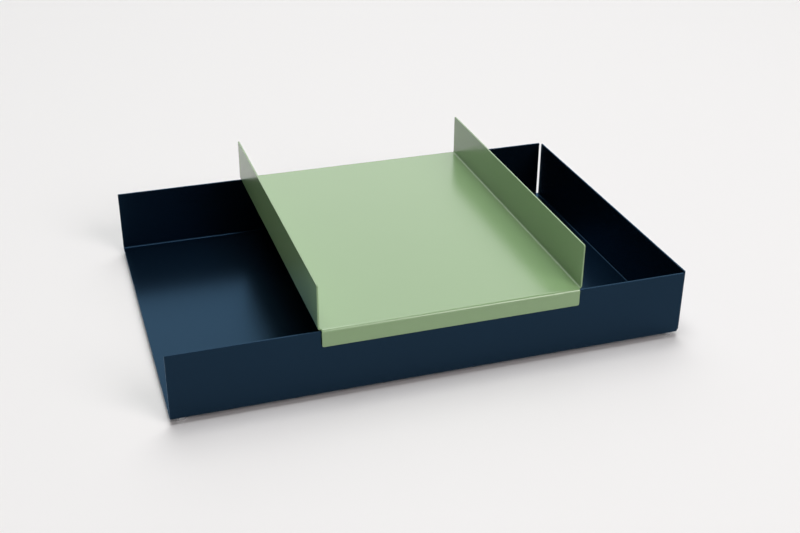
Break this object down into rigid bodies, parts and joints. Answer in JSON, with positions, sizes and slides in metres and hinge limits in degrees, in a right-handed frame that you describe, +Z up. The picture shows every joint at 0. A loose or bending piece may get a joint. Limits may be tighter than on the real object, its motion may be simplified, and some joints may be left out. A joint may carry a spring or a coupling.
{
  "type": "desk tray",
  "caption": "Low open-ended desk tray of folded sheet steel, with a flanged cross tray that hooks over its long walls and slides along them.",
  "frame": {"origin": "on the surface the tray stands on, under the middle of its floor", "axes": "+X along the long walls to the closed end, +Y to the rear wall, +Z up"},
  "size_m": [0.32, 0.223, 0.0751],
  "materials": {
    "navy_powder_coat": "fine semi-gloss powder coat on sheet steel",
    "green_powder_coat": "fine semi-gloss powder coat on sheet steel",
    "clear_bumper": "clear soft polyurethane"
  },
  "bodies": {
    "tray": {"tray": "navy_powder_coat", "foot_front_left": "clear_bumper", "foot_front_right": "clear_bumper", "foot_rear_left": "clear_bumper", "foot_rear_right": "clear_bumper"},
    "cross_tray": {"cross_tray": "green_powder_coat"}
  },
  "joints": [
    {"name": "cross_tray_slide", "type": "slide", "parent": "tray", "child": "cross_tray", "axis": [1, 0, 0], "range_m": [-0.086, 0.071]}
  ]
}
